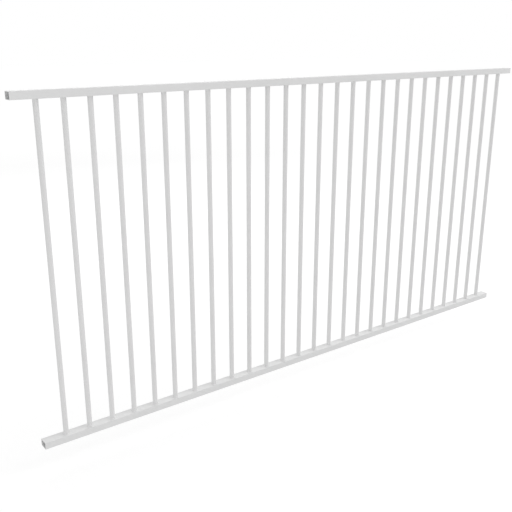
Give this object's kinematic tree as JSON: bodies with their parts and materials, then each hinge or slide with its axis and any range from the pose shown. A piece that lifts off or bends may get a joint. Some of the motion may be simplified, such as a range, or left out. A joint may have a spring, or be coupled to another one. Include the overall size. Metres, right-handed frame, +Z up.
{
  "type": "pool fence panel",
  "caption": "Flat-top pool fence panel: two hollow rectangular rails with open ends, joined by a row of evenly spaced round pickets, with a white powder coat.",
  "frame": {"origin": "middle of the left end face of the bottom rail, where a post bracket receives the panel", "axes": "+X along the panel from the left end to the right, +Y through the panel away from the side seen in the picture, +Z up"},
  "size_m": [2.45, 0.038, 1.2],
  "materials": {
    "coated_rail": "white powder coat, satin",
    "coated_picket": "white powder coat, satin"
  },
  "bodies": {
    "root": {"bottom_rail": "coated_rail", "top_rail": "coated_rail", "picket_01": "coated_picket", "picket_02": "coated_picket", "picket_03": "coated_picket", "picket_04": "coated_picket", "picket_05": "coated_picket", "picket_06": "coated_picket", "picket_07": "coated_picket", "picket_08": "coated_picket", "picket_09": "coated_picket", "picket_10": "coated_picket", "picket_11": "coated_picket", "picket_12": "coated_picket", "picket_13": "coated_picket", "picket_14": "coated_picket", "picket_15": "coated_picket", "picket_16": "coated_picket", "picket_17": "coated_picket", "picket_18": "coated_picket", "picket_19": "coated_picket", "picket_20": "coated_picket", "picket_21": "coated_picket", "picket_22": "coated_picket", "picket_23": "coated_picket", "picket_24": "coated_picket", "picket_25": "coated_picket", "picket_26": "coated_picket", "picket_27": "coated_picket"}
  },
  "joints": []
}
